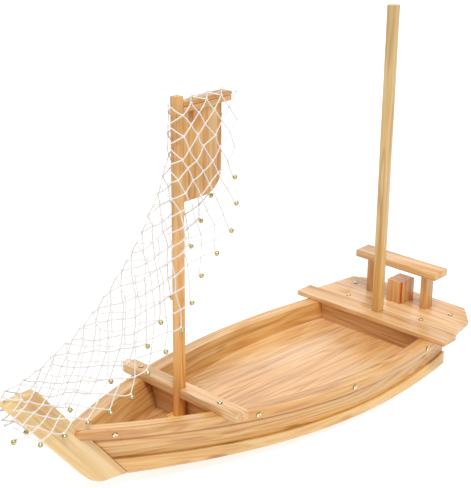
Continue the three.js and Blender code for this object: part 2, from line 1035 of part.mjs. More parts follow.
// Each knot is a small flat block, whose sides between two corners open into its cords.
function addKnotCorners(knot) {
  const out = knot.normal;
  const first = knots.get(knot.ties[0]).place.clone().sub(knot.place).projectOnPlane(out).normalize();
  const second = out.clone().cross(first);
  const turnOf = (key) => {
    const way = knots.get(key).place.clone().sub(knot.place);
    return (Math.atan2(way.dot(second), way.dot(first)) + 2 * Math.PI) % (2 * Math.PI);
  };
  const ties = knot.ties.map((key) => ({ key, turn: turnOf(key) }));
  ties.sort((a, b) => a.turn - b.turn);
  ties.forEach(({ turn }, k) => {
    const next = k + 1 < ties.length ? ties[k + 1].turn : ties[0].turn + 2 * Math.PI;
    const gap = next - turn;
    const count = Math.max(1, Math.round(gap / (Math.PI / 2)));
    const radius = Math.min(1.3 * cordWidth, cordWidth / 2 / Math.sin(gap / (2 * count)));
    for (let c = 0; c < count; c += 1) {
      const angle = turn + (gap * (c + 0.5)) / count;
      const corner = knot.place.clone();
      corner.addScaledVector(first, radius * Math.cos(angle));
      corner.addScaledVector(second, radius * Math.sin(angle));
      knot.ring.push({
        top: addCorner(corner.clone().addScaledVector(out, cordWidth / 2)),
        low: addCorner(corner.clone().addScaledVector(out, -cordWidth / 2)),
        open: c === count - 1,
      });
    }
    knot.mouths.set(ties[(k + 1) % ties.length].key, knot.ring.length - 1);
  });
  const ring = knot.ring;
  ring.forEach((corner, c) => {
    const next = ring[(c + 1) % ring.length];
    if (c > 0 && c + 1 < ring.length) {
      netFaces.push([ring[0].top, corner.top, next.top], [ring[0].low, next.low, corner.low]);
    }
    if (!corner.open) {
      netFaces.push([corner.low, next.low, next.top], [corner.low, next.top, corner.top]);
    }
  });
}

function addCord(from, to) {
  const mouth = (knot, key) => {
    const c = knot.mouths.get(key);
    return [knot.ring[c], knot.ring[(c + 1) % knot.ring.length]];
  };
  const [a, b] = mouth(knots.get(from), to);
  const [c, d] = mouth(knots.get(to), from);
  const near = [a.top, b.top, b.low, a.low];
  const far = [d.top, c.top, c.low, d.low];
  near.forEach((corner, k) => {
    const n = (k + 1) % near.length;
    netFaces.push([near[n], corner, far[k]], [near[n], far[k], far[n]]);
  });
}

knots.forEach(addKnotCorners);
knots.forEach((knot, key) => {
  knot.ties.filter((other) => key < other).forEach((other) => addCord(key, other));
});
const netGeometry = new THREE.BufferGeometry();
netGeometry.setAttribute('position', new THREE.Float32BufferAttribute(netPositions, 3));
netGeometry.setIndex(netFaces.flat());

function bellAt(side, share, gap) {
  const row = 2 * Math.round((share * netRows) / 2);
  const knot = knots.get(keyOf(side, row, netColumns));
  const middle = new THREE.Vector3();
  knot.ties.forEach((key) => middle.add(knots.get(key).place));
  middle.divideScalar(knot.ties.length);
  const way = knot.place.clone().sub(middle).normalize();
  way.z -= bellSagShare;
  way.normalize();
  const geometry = new THREE.SphereGeometry(bellRadius, 10, 6);
  geometry.rotateX(Math.PI / 2);
  const centre = knot.place.clone().addScaledVector(way, bellRadius + cordWidth * 0.7 + gap);
  geometry.translate(centre.x, centre.y, centre.z);
  return geometry;
}

let netSolid = toManifold(netGeometry);
for (const [side, shares] of tiedBellShares) {
  for (const share of shares) {
    netSolid = netSolid.add(toManifold(bellAt(side, share, -bellGap)));
  }
}
addPiece('net', toGeometry(netSolid), whiteCord, 0.85);

let bellCount = 0;
for (const [side, shares] of bellShares) {
  for (const share of shares) {
    bellCount += 1;
    const name = `bell_${String(bellCount).padStart(2, '0')}`;
    addPiece(name, bellAt(side, share, bellGap), brassGold, 0.3, 1);
  }
}

// Screws

function addScrew(name, length, seat, axis) {
  addPiece(name, placed(screwGeometry(length), seat, axis), brassGold, 0.3, 1);
}

railPlaces.forEach(({ seat, axis }, i) => {
  addScrew(`rail_screw_port_${i + 1}`, railScrewLength, seat, axis);
  const farSeat = new THREE.Vector3(seat.x, -seat.y, seat.z);
  const farAxis = new THREE.Vector3(axis.x, -axis.y, axis.z);
  addScrew(`rail_screw_starboard_${i + 1}`, railScrewLength, farSeat, farAxis);
});
topScrews.forEach((seat, i) => addScrew(`thwart_screw_${i + 1}`, deckScrewLength, seat, up));
deckScrews.forEach((seat, i) => addScrew(`deck_screw_${i + 1}`, deckScrewLength, seat, up));

export default boat;
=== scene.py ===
import json
import math
import random

import bmesh
import bpy
import numpy as np
from mathutils import Matrix, Vector


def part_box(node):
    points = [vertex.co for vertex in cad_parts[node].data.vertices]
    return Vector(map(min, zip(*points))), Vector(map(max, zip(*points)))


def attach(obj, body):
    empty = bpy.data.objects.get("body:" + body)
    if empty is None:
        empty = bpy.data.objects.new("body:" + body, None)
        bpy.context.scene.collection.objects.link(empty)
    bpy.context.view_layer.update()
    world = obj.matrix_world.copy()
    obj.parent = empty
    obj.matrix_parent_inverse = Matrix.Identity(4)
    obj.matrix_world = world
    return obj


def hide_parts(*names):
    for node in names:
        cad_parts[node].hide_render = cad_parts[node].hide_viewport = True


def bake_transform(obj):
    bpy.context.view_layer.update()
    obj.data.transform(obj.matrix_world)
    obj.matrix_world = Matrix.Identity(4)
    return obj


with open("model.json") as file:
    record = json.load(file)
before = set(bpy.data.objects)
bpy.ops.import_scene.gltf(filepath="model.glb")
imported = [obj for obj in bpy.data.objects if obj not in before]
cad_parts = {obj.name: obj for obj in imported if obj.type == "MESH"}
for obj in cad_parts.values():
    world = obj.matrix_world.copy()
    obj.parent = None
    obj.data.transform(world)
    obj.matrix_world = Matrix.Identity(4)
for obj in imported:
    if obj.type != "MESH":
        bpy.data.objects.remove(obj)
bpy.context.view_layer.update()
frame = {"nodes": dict(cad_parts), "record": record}  # bodies, nodes, joints, record


# Camera: the angle the boat was photographed from, with the bow to the left and the
# stern away to the right.

MM = 0.001
CAMERA_PLACE = Vector((1109.1, 1002.0, 838.0)) * MM
AZIMUTH = math.radians(132.583)
ELEVATION = math.radians(21.049)
ROLL = math.radians(0.468)

scene = bpy.context.scene


def add_object(name, data):
    made = bpy.data.objects.new(name, data)
    scene.collection.objects.link(made)
    return made


camera_data = bpy.data.cameras.new("camera")
camera_data.lens = 91.04
camera_data.sensor_width = 36.0
camera_data.clip_start = 0.05
camera_data.clip_end = 30.0
camera = add_object("camera", camera_data)
scene.camera = camera

camera_back = Vector(
    (
        math.sin(AZIMUTH) * math.cos(ELEVATION),
        -math.cos(AZIMUTH) * math.cos(ELEVATION),
        math.sin(ELEVATION),
    )
)
level_right = (-camera_back).cross(Vector((0, 0, 1))).normalized()
level_up = level_right.cross(-camera_back)
camera_right = level_right * math.cos(ROLL) + level_up * math.sin(ROLL)
camera_up = level_up * math.cos(ROLL) - level_right * math.sin(ROLL)
camera_turn = Matrix((camera_right, camera_up, camera_back)).transposed()
camera.matrix_world = Matrix.Translation(CAMERA_PLACE) @ camera_turn.to_4x4()


# Room: a plain white floor that shines faintly, so that the boat hardly shades it, a
# broad soft light from high over the port bow, a wide panel behind the boat and an even
# pale sky.

scene.view_settings.view_transform = "Standard"
scene.view_settings.look = "None"


class Socket:
    """A shader value that can be added, multiplied and so on, each as a Math node."""

    def __init__(self, tree, link):
        self.tree = tree
        self.link = link

    def join(self, operation, first, second=None):
        inputs = {0: first} if second is None else {0: first, 1: second}
        return self.tree.node("ShaderNodeMath", {"operation": operation}, inputs)

    def __add__(self, other):
        return self.join("ADD", self, other)

    __radd__ = __add__

    def __sub__(self, other):
        return self.join("SUBTRACT", self, other)

    def __rsub__(self, other):
        return self.join("SUBTRACT", other, self)

    def __mul__(self, other):
        return self.join("MULTIPLY", self, other)

    __rmul__ = __mul__

    def sine(self):
        return self.join("SINE", self)


class Finish:
    """A material whose nodes come from one method, with a Principled shader at its end."""

    def __init__(self, name):
        self.material = bpy.data.materials.new(name)
        self.material.use_nodes = True
        self.nodes = self.material.node_tree.nodes
        self.links = self.material.node_tree.links
        self.shader = self.nodes["Principled BSDF"]

    def node(self, kind, settings=None, inputs=None, output=0):
        """An output of a new node. Its "stops" are the places and colours of a colour ramp."""
        made = self.nodes.new(kind)
        for key, value in (settings or {}).items():
            if key == "stops":
                for spot in range(len(value) - len(made.color_ramp.elements)):
                    made.color_ramp.elements.new(0.5)
                for element, (place, color) in zip(made.color_ramp.elements, value):
                    element.position = place
                    element.color = (*color, 1.0)
            else:
                setattr(made, key, value)
        for key, value in (inputs or {}).items():
            self.feed(made.inputs[key], value)
        return Socket(self, made.outputs[output])

    def feed(self, socket, value):
        if isinstance(value, Socket):
            self.links.new(value.link, socket)
        else:
            socket.default_value = value

    def set(self, **values):
        for key, value in values.items():
            self.feed(self.shader.inputs[key.replace("_", " ")], value)


floor_finish = Finish("floor_white")
floor_finish.set(
    Base_Color=(0.4, 0.4, 0.4, 1),
    Roughness=0.9,
    Emission_Color=(1, 1, 1, 1),
    Emission_Strength=0.76,
)
shape = bmesh.new()
bmesh.ops.create_grid(shape, x_segments=1, y_segments=1, size=14.0)
floor_mesh = bpy.data.meshes.new("floor")
shape.to_mesh(floor_mesh)
shape.free()
floor_mesh.materials.append(floor_finish.material)
floor = add_object("floor", floor_mesh)

world = bpy.data.worlds.new("studio")
world.use_nodes = True
sky = world.node_tree.nodes["Background"].inputs
sky["Color"].default_value = (1, 1, 1, 1)
sky["Strength"].default_value = 0.52
scene.world = world


def add_light(name, kind, place, power, **settings):
    data = bpy.data.lights.new(name, kind)
    data.energy = power
    for key, value in settings.items():
        setattr(data, key, value)
    light = add_object(name, data)
    light.location = place
    light.rotation_euler = Vector(place).to_track_quat("Z", "Y").to_euler()


add_light("key", "SUN", (0.6, 0.8, 2.0), 2.1, angle=math.radians(24))
add_light("backdrop", "AREA", (-1.9, -1.8, 1.3), 14, shape="RECTANGLE", size=2.4, size_y=1.2)


# Side boards, bottom and floors: thin boards of clear-lacquered pine, sawn and glued
# edge to edge. The sides were bent round, so that their grain follows the rail, and a
# rubbing strip is screwed to each of them.

STERN_X = -340 * MM
RAIL_BOW_X = 292.37 * MM
RAIL_STERN = 63.5 * MM
RAIL_RISE = 47.5 * MM
SHEER_SHARE = 0.2  # of the rail's rise, in a straight line
WIDEST_SHARE = 0.32  # of the rail's length, from the stern
HALF_BEAM = 117.4 * MM
HALF_STERN = 95 * MM
HALF_BOW = 6 * MM
FULLNESS = 1.95
FLARE = 0.09
WALE_HEIGHT = 15.5 * MM
STRIP_SHADOW_REACH = 8.5 * MM  # how far the shadow painted below the rubbing strip spreads
DOUBLED = 0.01 * MM  # corners that lie nearer than this are one
ARRIS_ANGLE = math.radians(32)
HOLE_EDGE = 1.5 * MM  # edges under this are rims of screw holes, which stay sharp
EASE = 0.7 * MM
LOG_STEP = Vector((0.43, 0.31, 0.17))  # from one board's place in the log to the next


def tone(red, green, blue):
    """A display colour, 0 to 255, as scene light."""
    share = np.array([red, green, blue]) / 255
    return tuple(np.where(share > 0.04045, ((share + 0.055) / 1.055) ** 2.4, share / 12.92))


def noise(finish, place, scale, detail, roughness=0.5, distortion=0.0):
    inputs = {"Vector": place, "Scale": scale, "Detail": detail}
    inputs |= {"Roughness": roughness, "Distortion": distortion}
    return finish.node("ShaderNodeTexNoise", None, inputs)


def ramp(finish, value, stops):
    """A colour that goes from stop to stop as value grows."""
    return finish.node("ShaderNodeValToRGB", {"stops": stops}, {0: value})


def bump(finish, height, strength, distance):
    inputs = {"Height": height, "Strength": strength, "Distance": distance}
    return finish.node("ShaderNodeBump", None, inputs)


def wood(name, pale, middle, dark, strip=0.0, shadow_under_strip=False, painted_height_light=False):
    """Pine in three tones, yellower in some places and pinker in others.

    Its streaks, rings and small knots lie along each board's own "grain". strip is the
    width of the strips that it is glued up from. One flag paints a shadow below the strip
    that is screwed over the wood, and another paints light and shade by height, lighter
    low down and darker towards the top of the boat.
    """
    finish = Finish(name)
    grain = finish.node("ShaderNodeAttribute", {"attribute_name": "grain"}, output=1)

    def stretched(scale):
        return finish.node("ShaderNodeVectorMath", {"operation": "MULTIPLY"}, {0: grain, 1: scale})

    def figure(scale, *rest):
        return noise(finish, stretched(scale), 1.0, *rest)

    def change(value, start, end, first, last):
        """From first to last while value goes from start to end."""
        inputs = {"Value": value, "From Min": start, "From Max": end}
        inputs |= {"To Min": first, "To Max": last}
        return finish.node("ShaderNodeMapRange", None, inputs)

    def tinted(color, tint):
        return finish.node(
            "ShaderNodeMix",
            {"data_type": "RGBA", "blend_type": "MULTIPLY"},
            {0: 1.0, 6: color, 7: tint},
            output=2,
        )

    board = figure((2.5, 14, 14), 2)
    rings = (figure((3.0, 42, 42), 2, 0.5, 0.6) * 46).sine() * 0.5 + 0.5
    streaks = figure((5, 210, 210), 4, 0.62)
    fibres = figure((30, 1500, 1500), 3, 0.7)
    shade = rings * 0.26 + streaks * 0.8 + board * 0.7 + fibres * 0.2 - 0.52
    spots = finish.node(
        "ShaderNodeTexVoronoi", None, {"Vector": stretched((6, 17, 17)), "Scale": 1.0}
    )
    shade = shade + change(spots, 0.02, 0.13, 0.5, 0.0)
    if strip:
        cells = finish.node(
            "ShaderNodeVectorMath", {"operation": "FLOOR"}, {0: stretched((0.9, 1 / strip, 0))}
        )
        shade = shade + finish.node("ShaderNodeTexWhiteNoise", None, {"Vector": cells}) * 0.3 - 0.15
    # Painted shadow below the rubbing strip, darkest at its edge.
    if shadow_under_strip:
        below = finish.node("ShaderNodeAttribute", {"attribute_name": "below_strip"}, output=2)
        shade = shade + change(below * below, 0.0, STRIP_SHADOW_REACH**2, 0.85, 0.0)
    casts = [(0.36, (1.0, 0.93, 0.72)), (0.64, (0.94, 0.95, 0.92))]
    color = ramp(finish, shade, [(0.18, pale), (0.52, middle), (0.88, dark)])
    color = tinted(color, ramp(finish, figure((4, 26, 26), 2), casts))
    # Painted light and shade by height: lighter low down, darker towards the top.
    if painted_height_light:
        place = finish.node("ShaderNodeTexCoord", output=3)
        above = finish.node("ShaderNodeSeparateXYZ", None, {0: place}, output=2)
        color = tinted(color, change(above, 0.08, 0.5, 1.14, 0.85))
    finish.set(
        Base_Color=color,
        Roughness=streaks * 0.16 + 0.32,
        Normal=bump(finish, streaks * 0.5 + fibres * 0.5, 0.12, 0.4 * MM),
        Coat_Weight=0.22,
        Coat_Roughness=0.25,
        Specular_IOR_Level=0.5,
    )
    return finish.material


# The upper side boards get a painted shadow below the rubbing strip.
side_wood = wood(
    "side_pine", tone(238, 202, 148), tone(222, 170, 104), tone(176, 112, 50), shadow_under_strip=True
)
low_wood = wood("garboard_pine", tone(236, 200, 143), tone(224, 175, 107), tone(189, 126, 60))
wale_wood = wood("wale_pine", tone(234, 190, 126), tone(217, 159, 88), tone(176, 110, 48))
deck_wood = wood("deck_pine", tone(237, 200, 156), tone(220, 170, 118), tone(181, 120, 68))

BODY_OF = {
    node: body
    for body, nodes in frame["record"]["behaviour"]["bodies"].items()
    for node in nodes
}
boards = []


def dress(piece, node):
    """piece stands for that solid and moves with its body."""
    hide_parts(node)
    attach(piece, BODY_OF[node])


def add_board(node, material, run, ease=EASE):
    """A solid's shape with its arrises eased by plane and sandpaper.

    run gives a point's place along the grain, across it and through it. Each board is
    taken from another place in the log.
    """
    shape = bmesh.new()
    shape.from_mesh(frame["nodes"][node].data)
    bmesh.ops.remove_doubles(shape, verts=shape.verts, dist=DOUBLED)
    bmesh.ops.dissolve_degenerate(shape, edges=shape.edges, dist=DOUBLED)
    bmesh.ops.dissolve_limit(
        shape, angle_limit=math.radians(0.6), verts=shape.verts, edges=shape.edges
    )
    arrises = [
        edge
        for edge in shape.edges
        if edge.is_manifold
        and edge.calc_face_angle(0) > ARRIS_ANGLE
        and edge.calc_length() > HOLE_EDGE
    ]
    bmesh.ops.bevel(
        shape,
        geom=arrises,
        offset=ease,
        offset_type="OFFSET",
        affect="EDGES",
        segments=2,
        profile=0.5,
        material=-1,
        clamp_overlap=True,
    )
    mesh = bpy.data.meshes.new(f"{node}_board")
    shape.to_mesh(mesh)
    shape.free()
    mesh.shade_smooth()
    mesh.set_sharp_from_angle(angle=math.radians(28))
    grain = mesh.attributes.new("grain", "FLOAT_VECTOR", "POINT")
    place_in_log = LOG_STEP * (len(boards) + 1)
    for vertex in mesh.vertices:
        grain.data[vertex.index].vector = Vector(run(*vertex.co)) + place_in_log
    mesh.materials.append(material)
    piece = add_object(f"{node}_board", mesh)
    dress(piece, node)
    boards.append(piece)
    return piece


def rail_height(x):
    share = (x - STERN_X) / (RAIL_BOW_X - STERN_X)
    return RAIL_STERN + RAIL_RISE * (SHEER_SHARE * share + (1 - SHEER_SHARE) * share**2)


def half_breadth(x):
    share = (x - STERN_X) / (RAIL_BOW_X - STERN_X)
    if share < WIDEST_SHARE:
        end, reach = HALF_STERN, WIDEST_SHARE
    else:
        end, reach = HALF_BOW, 1 - WIDEST_SHARE
    return HALF_BEAM - (HALF_BEAM - end) * (abs(share - WIDEST_SHARE) / reach) ** FULLNESS


def along_side(x, y, z):
    depth = rail_height(x) - z
    return x, depth, abs(y) - half_breadth(x) + FLARE * depth


def fore_and_aft(x, y, z):
    return x, y, z


def mark_strip_edge(strake):
    """On the outside, how far each corner lies under the rubbing strip's low edge."""
    # This distance sets where the shadow below the rubbing strip is painted.
    below_strip = strake.attributes.new("below_strip", "FLOAT", "POINT")
    for vertex in strake.vertices:
        depth = rail_height(vertex.co.x) - vertex.co.z
        outside = vertex.normal.y * vertex.co.y > 0
        below_strip.data[vertex.index].value = depth - WALE_HEIGHT if outside else -1


for side in ("port", "starboard"):
    strake = add_board(f"upper_strake_{side}", side_wood, along_side)
    mark_strip_edge(strake.data)
    add_board(f"garboard_{side}", low_wood, along_side)
    add_board(f"wale_{side}", wale_wood, along_side, ease=0.9 * MM)
for node in ("bottom_plank", "main_floor", "fore_floor"):
    add_board(node, deck_wood, fore_and_aft)


# Stem: one thick board on edge, sawn with its grain along the rake and glued between the
# side boards' ends.

RAKE_SHARE = 0.81

stem_wood = wood("stem_pine", tone(241, 214, 168), tone(230, 195, 143), tone(199, 152, 97))


def along_stem(x, y, z):
    length = math.hypot(RAKE_SHARE, 1)
    return (RAKE_SHARE * x + z) / length, (x - RAKE_SHARE * z) / length, y


add_board("stem", stem_wood, along_stem, ease=1.1 * MM)


# Cross pieces: transom, inner walls, feet, thwart, stern beam, deck and the rack's
# crossbar are pine boards sawn with the grain across the boat, glued or screwed down.


def across_boat(x, y, z):
    return y, x, z


for node in ("transom", "fore_bulkhead", "aft_bulkhead", "fore_foot", "aft_foot"):
    add_board(node, deck_wood, across_boat)
for node in ("thwart", "stern_beam", "aft_deck", "rack_crossbar"):
    add_board(node, deck_wood, across_boat, ease=0.9 * MM)


# Masts: square pine spars with the grain upright, each standing loose in a notch and in
# the socket of its step. The aft one is the paler of the two.

# Spar wood is painted lighter low down and darker towards the top, as light and shade.
spar_wood = wood(
    "spar_pine", tone(243, 203, 148), tone(227, 172, 106), tone(182, 120, 60), painted_height_light=True
)
pale_spar_wood = wood(
    "pale_spar_pine", tone(231, 206, 160), tone(214, 178, 122), tone(170, 124, 70), painted_height_light=True
)


def upright(x, y, z):
    return z, x, y


add_board("fore_mast", spar_wood, upright, ease=0.9 * MM)
add_board("aft_mast", pale_spar_wood, upright, ease=0.9 * MM)


# Rack posts: two short upright pieces of square pine, sawn off straight and glued
# between the stern deck and the crossbar.

post_wood = wood("post_pine", tone(237, 203, 155), tone(222, 173, 116), tone(185, 125, 66))
add_board("rack_post_port", post_wood, upright)
add_board("rack_post_starboard", post_wood, upright)


# Stern block: an upright pine block, glued up from narrow strips and set on the deck. A
# groove is sawn down one corner, and its faces are painted a dark reddish shade.

RABBET = 3.1 * MM  # each way from the corner

block_wood = wood(
    "block_pine", tone(240, 194, 138), tone(222, 160, 96), tone(176, 104, 52), strip=0.0095
)
groove_shade_wood = wood("groove_shade_pine", tone(206, 124, 62), tone(190, 98, 42), tone(150, 70, 28))

block = add_board("stern_block", block_wood, upright)
# The groove's faces take the painted shade.
block.data.materials.append(groove_shade_wood)
_, block_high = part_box("stern_block")
for face in block.data.polygons:
    if face.center.x > block_high[0] - RABBET and face.center.y > block_high[1] - RABBET:
        face.material_index = 1


# Mast steps: two pine blocks with a square socket for the mast's foot, of the same wood
# as the fore mast and glued down inside the hull.

add_board("fore_mast_step", spar_wood, fore_and_aft)
add_board("aft_mast_step", spar_wood, fore_and_aft)


# Yard and sail board: the yard is a grooved pine bar glued to the fore mast, and the
# board under it is glued up from upright strips.

sail_wood = wood(
    "sail_pine", tone(228, 184, 122), tone(211, 153, 80), tone(168, 102, 42), strip=0.0125
)

add_board("yard", spar_wood, fore_and_aft, ease=1.2 * MM)
add_board("sail_panel", sail_wood, upright, ease=0.9 * MM)


# Screws: turned brass with a domed head and a cross slot, a little dulled by handling,
# driven down until the head lies on the wood.

HEAD_RADIUS = 3.6 * MM
HEAD_HEIGHT = 2 * MM
RIM_SHARE = 0.18  # of the head's height, below the dome
SLOT_WIDTH = 0.75 * MM
SLOT_REACH = 1.75 * MM
SLOT_DEPTH = 0.9 * MM
SHANK_RADIUS = 1.4 * MM
RAIL_SCREW_LENGTH = 10 * MM
DECK_SCREW_LENGTH = 6 * MM
MERGED = 0.002 * MM


def brass(name, bright, dull):
    """Yellow metal, blotched and finely scratched; painted shade darkens a screw head's rim and
    slot.
    """
    finish = Finish(name)
    place = finish.node("ShaderNodeTexCoord", output=3)
    grime = finish.node("ShaderNodeAttribute", {"attribute_name": "grime"}, output=2)
    blotch = noise(finish, place, 420.0, 3.0)
    scratch = noise(finish, place, 2600.0, 2.0)
    tones = [(0.35, bright), (0.72, dull), (1.0, tone(84, 58, 30))]
    finish.set(
        Base_Color=ramp(finish, blotch * 0.9 + grime, tones),
        Metallic=1.0,
        Roughness=blotch * 0.22 + 0.2,
        Normal=bump(finish, scratch, 0.08, 0.1 * MM),
    )
    return finish.material


screw_brass = brass("screw_brass", tone(255, 246, 214), tone(238, 214, 158))


def spun(profile, turns=32):
    """A closed shell from a half profile of (radius, height) that starts and ends on the axis."""
    shape = bmesh.new()
    points = [shape.verts.new((radius, 0, height)) for radius, height in profile]
    lines = [shape.edges.new(pair) for pair in zip(points, points[1:])]
    bmesh.ops.spin(
        shape,
        geom=points + lines,
        cent=(0, 0, 0),
        axis=(0, 0, 1),
        angle=2 * math.pi,
        steps=turns,
        use_merge=True,
    )
    bmesh.ops.remove_doubles(shape, verts=shape.verts, dist=MERGED)
    bmesh.ops.recalc_face_normals(shape, faces=shape.faces)
    return shape


def dome_height(out):
    """The head's height at a share of its radius."""
    return HEAD_HEIGHT * (RIM_SHARE + (1 - RIM_SHARE) * math.sqrt(1 - out**2))


def screw_blank(length):
    dome = [
        (HEAD_RADIUS * math.cos(turn), dome_height(math.cos(turn)))
        for turn in np.linspace(0, math.pi / 2, 8)
    ]
    shank = [(0, -length), (SHANK_RADIUS, -length), (SHANK_RADIUS, 0), (HEAD_RADIUS, 0)]
    shape = spun(shank + dome)
    mesh = bpy.data.meshes.new("screw")
    shape.to_mesh(mesh)
    shape.free()
    cutter = bmesh.new()
    for long_way in (0, 1):
        size = [SLOT_WIDTH, SLOT_WIDTH, SLOT_DEPTH * 2]
        size[long_way] = SLOT_REACH * 2
        place = Matrix.Translation((0, 0, HEAD_HEIGHT)) @ Matrix.Diagonal((*size, 1))
        bmesh.ops.create_cube(cutter, size=1, matrix=place)
    cutter_mesh = bpy.data.meshes.new("cross_slot")
    cutter.to_mesh(cutter_mesh)
    cutter.free()
    blank = add_object("screw_blank", mesh)
    slot_tool = add_object("cross_slot", cutter_mesh)
    cut = blank.modifiers.new("cut", "BOOLEAN")
    cut.operation = "DIFFERENCE"
    cut.object = slot_tool
    cut.use_self = True
    cut.solver = "EXACT"
    graph = bpy.context.evaluated_depsgraph_get()
    graph.update()
    made = bpy.data.meshes.new_from_object(blank.evaluated_get(graph))
    bpy.data.objects.remove(blank)
    bpy.data.objects.remove(slot_tool)
    # Painted shade: dark at the rim of the head and down in the cross slot.
    grime = made.attributes.new("grime", "FLOAT", "POINT")
    for vertex in made.vertices:
        out = min(math.hypot(vertex.co.x, vertex.co.y) / HEAD_RADIUS, 1)
        sunk = max(dome_height(out) - vertex.co.z, 0) / SLOT_DEPTH
        grime.data[vertex.index].value = max(out**8, min(sunk, 1)) * 0.6
    made.shade_smooth()
    made.set_sharp_from_angle(angle=math.radians(35))
    made.materials.clear()
    made.materials.append(screw_brass)
    return made


def seat_of(node):
    """The middle of the ring under a screw's head and the way the head points."""
    points = np.array([vertex.co for vertex in frame["nodes"][node].data.vertices])
    points = np.unique(np.round(points, 6), axis=0)
    offsets = points - points.mean(0)
    way = np.linalg.svd(offsets)[2][0]
    along = offsets @ way
    across = np.linalg.norm(offsets - np.outer(along, way), axis=1)
    if along[across.argmax()] < 0:
        way = -way
    ring = points[across > across.max() - 0.05 * MM]
    return Vector(ring.mean(0)), Vector(way)


rail_screw = screw_blank(RAIL_SCREW_LENGTH)
deck_screw = screw_blank(DECK_SCREW_LENGTH)
for node in sorted(name for name in frame["nodes"] if "_screw_" in name):
    mesh = (rail_screw if node.startswith("rail") else deck_screw).copy()
    seat, way = seat_of(node)
    random.seed(node)
    turn = Matrix.Rotation(random.uniform(0, math.pi), 4, "Z")
    mesh.transform(
        Matrix.Translation(seat) @ way.to_track_quat("Z", "Y").to_matrix().to_4x4() @ turn
    )
    dress(add_object(f"{node}_head", mesh), node)


# Net: white twisted cord, knotted into meshes. It hangs folded over the yard, runs down
# in front of the mast and lies over the stem. Its lines repeat the solid's.

THWART_FRONT = 128 * MM
STEM_TIP = 400 * MM
STEM_TOP = 184 * MM
YARD_TOP = 473.8 * MM
RAIL_BOW = RAIL_STERN + RAIL_RISE
NET_SIDE = 12 * MM
NET_SPREAD = 9 * MM
NET_OVER_YARD = 3 * MM
NET_ROWS = 34
NET_COLUMNS = 8

# Places that the fold and the two edges pass through: the share of the way from the
# thwart to the stem's tip, and the share of the height from the stem's top up to the
# yard, or, below 0, down to the rail.

FOLD_SHARES = [
    (0.031, 1),
    (0.06, 0.731),
    (0.19, 0.508),
    (0.34, 0.355),
    (0.54, 0.199),
    (0.78, 0.091),
    (0.975, 0.024),
]
PORT_SHARES = [
    (-0.35, 1),
    (-0.357, 0.849),
    (-0.331, 0.659),
    (-0.342, 0.504),
    (-0.305, 0.386),
    (-0.114, 0.242),
    (0.015, 0.02),
    (0.21, -0.355),
    (0.357, -0.77),
    (0.596, -0.81),
    (0.798, -0.85),
    (0.956, -0.58),
]
STARBOARD_SHARES = [
    (-0.35, 1),
    (-0.353, 0.833),
    (-0.305, 0.573),
    (-0.213, 0.41),
    (-0.007, 0.076),
    (0.118, -0.22),
    (0.357, -0.56),
    (0.596, -0.71),
    (0.798, -0.77),
    (0.949, -0.49),
]
CURVE_STEPS = 40
DRIFT_X = 3.2 * MM  # how far a knot is pulled out of its row
DRIFT_Z = 2.8 * MM
CORD_RADIUS = 0.78 * MM
CORD_STEPS = 5
SAG = 1 * MM
KNOT_RADII = (1.75 * MM, 1.4 * MM, 2.1 * MM)
STRETCH_LOW = Vector((0, 0, 0.19))
STRETCH_HIGH = Vector((0, 0, 0.30))


def net_line(shares):
    """A place for each row, at even steps along a smooth curve through the shares."""
    points = []
    for forward, rise in shares:
        unit = YARD_TOP - STEM_TOP if rise > 0 else STEM_TOP - RAIL_BOW
        x = THWART_FRONT + (STEM_TIP - THWART_FRONT) * forward
        points.append(np.array([x, STEM_TOP + unit * rise]))
    points.insert(0, 2 * points[0] - points[1])
    points.append(2 * points[-1] - points[-2])
    track = []
    for before, start, end, after in zip(points, points[1:], points[2:], points[3:]):
        steps = start - before, end - start, after - end
        gap_in, gap, gap_out = (np.linalg.norm(step) ** 0.5 for step in steps)
        way_in = steps[0] / gap_in - (end - before) / (gap_in + gap) + steps[1] / gap
        way_out = steps[1] / gap - (after - start) / (gap + gap_out) + steps[2] / gap_out
        for share in np.linspace(0, 1, CURVE_STEPS, endpoint=False):
            track.append(
                start * (2 * share**3 - 3 * share**2 + 1)
                + way_in * gap * (share**3 - 2 * share**2 + share)
                + end * (3 * share**2 - 2 * share**3)
                + way_out * gap * (share**3 - share**2)
            )
    track.append(points[-2])
    track = np.array(track)
    run = np.concatenate([[0], np.cumsum(np.linalg.norm(np.diff(track, axis=0), axis=1))])
    rows = np.linspace(0, run[-1], NET_ROWS + 1)
    return np.transpose([np.interp(rows, run, places) for places in track.T])


fold_line = net_line(FOLD_SHARES)
edge_lines = {1: net_line(PORT_SHARES), -1: net_line(STARBOARD_SHARES)}


def net_point(side, row, column):
    """A place on the port half (side 1) or the starboard half (side -1).

    The columns run from the fold to the edge.
    """
    share = column / NET_COLUMNS
    x, z = fold_line[row] * (1 - share) + edge_lines[side][row] * share
    spread = NET_SPREAD * share * math.sin(math.pi * row / NET_ROWS) if side < 0 else 0
    return Vector((x, 0 if column == 0 else side * (NET_SIDE + spread), z))


def knot_name(side, row, column):
    """The halves share the knots of the fold and those that lie on top of the yard."""
    if row < 0:
        return "top", column
    return ("fold", row) if column == 0 else (side, row, column)


knots = {}
random.seed(11)
for side in (1, -1):
    for row in range(NET_ROWS + 1):
        for column in range(row % 2, NET_COLUMNS + 1, 2):
            point = net_point(side, row, column)
            if 0 < column < NET_COLUMNS and row > 1:
                point.x += random.uniform(-DRIFT_X, DRIFT_X)
                point.z += random.uniform(-DRIFT_Z, DRIFT_Z)
            knots.setdefault(knot_name(side, row, column), point)
for column in range(3, NET_COLUMNS, 2):
    x, _, _ = net_point(1, 0, column)
    knots[knot_name(1, -1, column)] = Vector((x, 0, YARD_TOP + NET_OVER_YARD))
cords = set()
for side in (1, -1):
    for row in range(-1, NET_ROWS):
        for column in range(NET_COLUMNS + 1):
            for other in (column - 1, column + 1):
                ends = knot_name(side, row, column), knot_name(side, row + 1, other)
                if (row + column) % 2 == 0 and ends[0] in knots and ends[1] in knots:
                    cords.add(ends)

